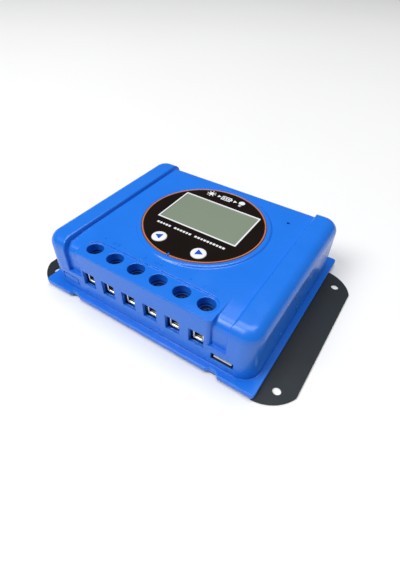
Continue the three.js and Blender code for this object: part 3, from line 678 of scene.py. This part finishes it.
RING_OUT, RING_WIDE = float(RING_HIGH[0]), 0.9
ring_line = ring_points(0, PANEL_Y, RING_OUT, 160, TURN_FROM, TURN_TO)
ring_line += ring_points(0, PANEL_Y, RING_OUT - RING_WIDE, 160, TURN_TO, TURN_FROM)
place(slab("trim_ring", [[ring_line]], float(RING_LOW[2]), float(RING_HIGH[2]), 0.22),
      "orange_trim", "rim_ring")

BORDER = 1.0
SIGHT_W, SIGHT_H = LCD_SIZE[0] - 2 * BORDER, LCD_SIZE[1] - 2 * BORDER
frame_line = rect_points(LCD_MID[0], LCD_MID[1], LCD_SIZE[0], LCD_SIZE[1], 0.4)
frame_hole = rect_points(LCD_MID[0], LCD_MID[1], SIGHT_W, SIGHT_H, 0.25)
place(slab("display_frame", [[frame_line, frame_hole]], float(LCD_LOW[2]), float(LCD_HIGH[2]), 0.12),
      "white_plastic", "lcd_frame")
glass_line = rect_points(LCD_MID[0], LCD_MID[1], SIGHT_W - 0.3, SIGHT_H - 0.3, 0.2)
place(slab("display_glass", [[glass_line]], float(LCD_LOW[2]), float(GLASS_HIGH[2]), 0.08),
      "lcd_grey_green", "lcd_glass")


# ------------------------------------------------------------------ printed and raised marks
def frame_shape(cx, cy, w, h, line, r=0.3):
    """A rectangle drawn with a line of the given width."""
    return [rect_points(cx, cy, w, h, r), rect_points(cx, cy, w - 2 * line, h - 2 * line, r / 2)]


def plus_shape(cx, cy, size, line):
    """A plus sign as one outline."""
    h, s = line / 2, size / 2
    corners = [(h, s), (-h, s), (-h, h), (-s, h), (-s, -h), (-h, -h), (-h, -s), (h, -s), (h, -h),
               (s, -h), (s, h), (h, h)]
    return [[(cx + px, cy + py) for px, py in corners]]


def minus_shape(cx, cy, size, line):
    """A minus sign."""
    return [rect_points(cx, cy, size, line, line * 0.3)]


def sun_shapes(cx, cy, size):
    """A disc with eight rays."""
    shapes = [[ring_points(cx, cy, 0.27 * size, 32)]]
    for k in range(8):
        a = math.radians(45 * k)
        reach = 0.42 * size
        shapes.append([rect_points(cx + reach * math.cos(a), cy + reach * math.sin(a),
                                   0.2 * size, 0.1 * size, 0.03 * size, 45 * k)])
    return shapes


def battery_shapes(cx, cy, w, h, line):
    """A battery's outline with its terminal and three bars."""
    shapes = [frame_shape(cx, cy, w, h, line)]
    shapes.append([rect_points(cx + w / 2 + 0.45, cy, 0.7, h * 0.45, 0.12)])
    for k in (-1, 0, 1):
        shapes.append([rect_points(cx + k * w * 0.25, cy, w * 0.16, h - 3.4 * line, 0.12)])
    return shapes


def lamp_shapes(cx, cy, size):
    """A bulb with a two-part cap."""
    bulb = ring_points(cx, cy + 0.15 * size, 0.33 * size, 40, -55, 235)
    return [[bulb], [rect_points(cx, cy - 0.3 * size, 0.34 * size, 0.12 * size, 0.03 * size)],
            [rect_points(cx, cy - 0.46 * size, 0.24 * size, 0.1 * size, 0.03 * size)]]


# Sun, battery and lamp in a row over the display, with arrows between them.
LEGEND_Y, LEGEND_SIZE, ARROW = 43.0, 6.4, 1.7
legend = sun_shapes(-13.2, LEGEND_Y, LEGEND_SIZE)
legend += [[triangle_points(-7.2, LEGEND_Y, ARROW, 0)]]
legend += battery_shapes(-1.6, LEGEND_Y, 7.0, 4.6, 0.75)
legend += [[triangle_points(4.9, LEGEND_Y, ARROW, 0)]]
legend += lamp_shapes(9.6, LEGEND_Y, LEGEND_SIZE)
# A row of dashes in three groups under the display.
LINE_Y, LINE_HALF, DASHES, GAPS, DASH_W, DASH_H = -3.0, 24.2, 23, (5, 12), 1.5, 1.55
for k in range(DASHES):
    if k in GAPS:
        continue
    width = DASH_W + 0.15 * math.sin(2.4 * k)
    middle = -LINE_HALF + (k + 0.5) * 2 * LINE_HALF / DASHES
    legend.append([rect_points(middle, LINE_Y, width, DASH_H, 0.2)])
INK, INK_UNDER = 0.05, 0.02
place(slab("panel_print", legend, PANEL_Z - INK_UNDER, PANEL_Z + INK, 0.015, 1), "white_plastic")

# Raised marks behind each pair of holes: plus and minus, with a panel, battery or lamp between.
marks = []
MARK_Y, MARK_LINE, MARK_UNDER, MARK_RISE = -33.1, 0.42, 0.4, 0.16
for k in (0, 2, 4):
    left, right = POLE_X[k], POLE_X[k + 1]
    middle = (left + right) / 2
    marks.append(plus_shape(left - 1.6, MARK_Y, 2.0, MARK_LINE))
    marks.append(minus_shape(right - 1.2, MARK_Y, 1.9, MARK_LINE))
    if k == 0:
        marks.append([rect_points(middle, MARK_Y, 5.0, 2.2, 0.2)]
                     + [rect_points(middle + (i - 1) * 1.5, MARK_Y + j * 0.5, 1.1, 0.62, 0.1)
                        for i in range(3) for j in (-1, 1)])
    elif k == 2:
        marks += battery_shapes(middle, MARK_Y, 4.6, 2.2, 0.4)
    else:
        marks += lamp_shapes(middle, MARK_Y, 2.6)
place(slab("terminal_marks", marks, DECK_Z - MARK_UNDER, DECK_Z + MARK_RISE, 0.07, 2), "blue_abs")


# ------------------------------------------------------------------ buttons
def button_field(cx, cy):
    """A crowned cap on a flange that keeps the button in the cover."""
    low, high = box_mm("button_left")
    flange_r = (high[0] - low[0]) / 2
    cap_r, flange_top = 4.65, ROOF_UNDER - 0.3

    def field(p):
        radius = np.hypot(p[:, 0] - cx, p[:, 1] - cy)
        crown = p[:, 2] - (high[2] - 0.22 * (radius / cap_r) ** 2)
        cap = rounded(rounded(radius - cap_r, crown, 0.55), low[2] - p[:, 2], 0.1)
        flange = rounded(radius - flange_r, np.abs(p[:, 2] - (low[2] + flange_top) / 2)
                         - (flange_top - low[2]) / 2, 0.1)
        return np.minimum(cap, flange)
    return field


for side, (bx, by), turn in (("left", BUTTONS[0], 180), ("right", BUTTONS[1], 0)):
    low, high = box_mm("button_" + side)
    body = f"button_{side}_body"
    place(field_piece(f"{side}_button", button_field(bx, by), low, high, 0.22, 0.25),
          "white_plastic", "button_" + side, body=body)
    mark = [[triangle_points(bx, by, 2.9, turn, 0.3)]]
    place(slab(f"{side}_arrow", mark, high[2] - 0.3, high[2] + 0.04, 0.03, 1), "blue_abs",
          body=body, look="arrow_blue")


# ------------------------------------------------------------------ terminals
SCREW_LOW, SCREW_HIGH = box_mm(POLES[0])
CAGE_LOW, CAGE_HIGH = box_mm("terminal_cage_1")
CAGE_LIP, CAGE_SIDE = 1.4, 1.1
HEAD_HIGH, HEAD_R, SHANK_R, THREAD_PITCH = 2.2, 3.7, 2, 0.7
FIRST_X = POLE_X[0]


def screw_field(p):
    """A terminal screw with a slot and a cross, and a threaded shank."""
    x, y, z = p[:, 0] - FIRST_X, p[:, 1] - ROW_Y, p[:, 2]
    radius = np.hypot(x, y)
    top, under = SCREW_HIGH[2], SCREW_HIGH[2] - HEAD_HIGH
    head = rounded(rounded(radius - HEAD_R, z - top + 0.03 * radius ** 2, 0.45), under - z, 0.15)
    thread = 0.12 * np.cos(2 * math.pi * z / THREAD_PITCH)
    shank = np.maximum(radius - SHANK_R + thread, z - under - 0.5)
    d = np.minimum(head, rounded(shank, SCREW_LOW[2] - z, 0.3))
    slot = np.maximum(np.abs(y) - 0.55, top - 1 - z)
    cross = np.maximum(rect(x, y, -0.55, 0.55, -2.3, 2.3, 0.2), top - 1.2 - z)
    return carve(carve(d, slot, 0.12), cross, 0.12)


def cage_field(p):
    """A box clamp: toothed inside at the bottom, with a hole for the screw through its top."""
    x, y, z = p[:, 0] - FIRST_X, p[:, 1], p[:, 2]
    front, back = CAGE_LOW[1], CAGE_HIGH[1]
    side = (CAGE_HIGH[0] - CAGE_LOW[0]) / 2
    depth = np.abs(y - (front + back) / 2) - (back - front) / 2
    lip, under = CAGE_LOW[2] + CAGE_LIP, CAGE_HIGH[2] - CAGE_LIP
    d = rounded(rect(x, z, -side, side, CAGE_LOW[2], CAGE_HIGH[2], 1.1), depth, 0.3)
    teeth = 0.12 * np.cos(2 * math.pi * y / 1.1) * (z < lip + 1)
    d = carve(d, rect(x, z + teeth, CAGE_SIDE - side, side - CAGE_SIDE, lip, under, 0.7), 0.3)
    return carve(d, np.maximum(disc(x, y, 0, ROW_Y, 2.3), under - 2 - z), 0.2)


screw = field_piece("clamp_screw_1", screw_field, SCREW_LOW, SCREW_HIGH, 0.22, 0.35)
cage = field_piece("clamp_cage_1", cage_field, CAGE_LOW, CAGE_HIGH, 0.25, 0.4)
for n, px in enumerate(POLE_X, 1):
    one = screw if n == 1 else shifted(screw, f"clamp_screw_{n}", px - FIRST_X)
    box = cage if n == 1 else shifted(cage, f"clamp_cage_{n}", px - FIRST_X)
    place(one, "steel", f"terminal_screw_{n}", body=f"screw_{n}", look="shaded_steel")
    place(box, "brass", f"terminal_cage_{n}", body=f"cage_{n}")


# ------------------------------------------------------------------ USB port
TONGUE_LOW, TONGUE_HIGH = box_mm("usb_tongue")
SHEET = 0.5
TONGUE_UNDER, TONGUE_OVER = 0.4, 0.2
CONTACTS = ((-3.5, 1.0), (-1.0, 1.0), (1.0, 1.0), (3.5, 1.0))


def shell_field(p):
    """The port's folded shell, with two spring fingers in its top and two in its bottom."""
    x, y, z = p[:, 0] - USB_X, p[:, 1], p[:, 2]
    half = (SHELL_HIGH[0] - SHELL_LOW[0]) / 2
    front, back = SHELL_LOW[1], SHELL_HIGH[1]
    outer = rect(x, z, -half, half, SHELL_LOW[2], SHELL_HIGH[2], 0.8)
    d = rounded(outer, np.abs(y - (front + back) / 2) - (back - front) / 2, 0.2)
    inner = rect(x, z, SHEET - half, half - SHEET, SHELL_LOW[2] + SHEET, SHELL_HIGH[2] - SHEET, 0.4)
    d = carve(d, np.maximum(inner, y - back + SHEET), 0.15)
    spread = np.abs(np.abs(x) - 3.2)
    middle = (SHELL_LOW[2] + SHELL_HIGH[2]) / 2
    d = np.maximum(d, -np.maximum(np.maximum(spread - 1.1, np.abs(y + 45.4) - 2.8),
                                  2 - np.abs(z - middle)))
    lean = np.abs(z - middle) - (SHELL_HIGH[2] - middle - 0.25) + 0.14 * (y + 48.2)
    finger = np.maximum(np.maximum(spread - 0.75, np.abs(lean) - 0.14), np.abs(y + 45.6) - 2.6)
    return np.minimum(d, finger)


place(field_piece("port_shell", shell_field, SHELL_LOW, SHELL_HIGH, 0.25, 0.3), "steel", "usb_shell",
      look="shaded_steel")
place(box_piece("port_tongue", TONGUE_LOW + (0, 0, TONGUE_UNDER),
                TONGUE_HIGH - (0, 0, TONGUE_OVER), 0.15, 0.2), "white_plastic", "usb_tongue")
strips = [[rect_points(USB_X + dx, TONGUE_LOW[1] + 4.4, w, 7.4, 0.15)] for dx, w in CONTACTS]
place(slab("port_contacts", strips, float(TONGUE_LOW[2]) + 0.28, float(TONGUE_LOW[2]) + 0.5,
           0.04, 1), "brass")


# ------------------------------------------------------------------ screws under the plate
CASE_HEAD_R, CASE_HEAD_Z, CASE_TIP = 3.0, 0.1, 10.5


def case_screw_field(p):
    """A countersunk screw, head down, with a cross in its head."""
    cx, cy = CASE_SCREWS[0]
    x, y, z = p[:, 0] - cx, p[:, 1] - cy, p[:, 2]
    radius = np.hypot(x, y)
    cone = rounded((radius + 1.38 * z - 3.14) * 0.59, CASE_HEAD_Z - z, 0.15)
    head = np.maximum(cone, radius - CASE_HEAD_R)
    d = np.minimum(head, rounded(radius - 1.2, z - CASE_TIP, 0.3))
    taper = 0.35 * z
    bars = np.minimum(rect(x, y, -1.6, 1.6, -0.35, 0.35), rect(x, y, -0.35, 0.35, -1.6, 1.6))
    return carve(d, np.maximum(bars + taper, z - 1.3), 0.08)


SCREW_NODES = sorted(n for n in NODES if n.startswith("case_screw_"))
screw_low = (CASE_SCREWS[0][0] - CASE_HEAD_R, CASE_SCREWS[0][1] - CASE_HEAD_R, CASE_HEAD_Z)
screw_high = (CASE_SCREWS[0][0] + CASE_HEAD_R, CASE_SCREWS[0][1] + CASE_HEAD_R, CASE_TIP)
first = field_piece("cover_screw_1", case_screw_field, screw_low, screw_high, 0.2, 0.35)
for i, (px, py) in enumerate(CASE_SCREWS):
    item = first
    if i:
        item = link(f"cover_screw_{i + 1}", first.data.copy())
        item.data.transform(Matrix.Translation(((px - CASE_SCREWS[0][0]) * MM,
                                                (py - CASE_SCREWS[0][1]) * MM, 0)))
    node = min(SCREW_NODES, key=lambda n: np.hypot(*(sum(box_mm(n)) / 2 - (px, py, 0))[:2]))
    place(item, "steel", node)

# ------------------------------------------------------------------ CAD nodes that stay in view
SLOTS = {part["node"]: part["material_slot"] for part in frame["record"]["subparts"]}
for node, obj in NODES.items():
    for entry in obj.material_slots:
        entry.material = FINISHES[SLOTS[node]]

# ------------------------------------------------------------------ stage, light and camera
FLOOR_SIDE, FLOOR_UNDER, FLOOR_TOP = 6000, -20, -0.05
floor = slab("floor", [[rect_points(0, 0, FLOOR_SIDE, FLOOR_SIDE, 10)]], FLOOR_UNDER, FLOOR_TOP, 1)
floor.data.materials.append(finish("floor", (0.93, 0.93, 0.93), 0.7, tint=0.01, patch=2.0))

world = bpy.data.worlds.new("studio")
bpy.context.scene.world = world
world.use_nodes = True
backdrop = world.node_tree.nodes["Background"]
backdrop.inputs["Color"].default_value = (0.93, 0.96, 1.0, 1)
backdrop.inputs["Strength"].default_value = 0.1


def softbox(name, spot, aim, size, watts):
    """A rectangular area light in metres and watts, turned towards a point."""
    lamp = bpy.data.lights.new(name, "AREA")
    lamp.shape = "RECTANGLE"
    lamp.size, lamp.size_y = size
    lamp.energy = watts
    obj = link(name, lamp)
    obj.location = spot
    obj.rotation_euler = (Vector(aim) - Vector(spot)).to_track_quat("-Z", "Y").to_euler()


softbox("key", (0, 0.4, 2.5), (0, 0, 0.02), (1.75, 1.75), 43.0)
softbox("front", (-0.93, -1.25, 1.95), (0, -0.03, 0.02), (1.0, 1.35), 38.0)

EYE = Vector((98.63, -148.25, 171.70)) * MM
AIM = Vector((18.42, -19.39, 20.0)) * MM
ROLL = math.radians(1.73)
SENSOR, LENS = 36.0, 23.3
NEAR, FAR = 0.01, 20.0
camera = bpy.data.cameras.new("view")
camera.sensor_fit = "AUTO"
camera.sensor_width = SENSOR
camera.lens = LENS
camera.clip_start = NEAR
camera.clip_end = FAR
eye = link("view", camera)
back = (EYE - AIM).normalized()
right = Vector((0, 0, 1)).cross(back).normalized()
up = back.cross(right)
right, up = (math.cos(ROLL) * right + math.sin(ROLL) * up,
             -math.sin(ROLL) * right + math.cos(ROLL) * up)
eye.matrix_world = Matrix.Translation(EYE) @ Matrix((right, up, back)).transposed().to_4x4()
bpy.context.scene.camera = eye
bpy.context.scene.view_settings.view_transform = "Standard"
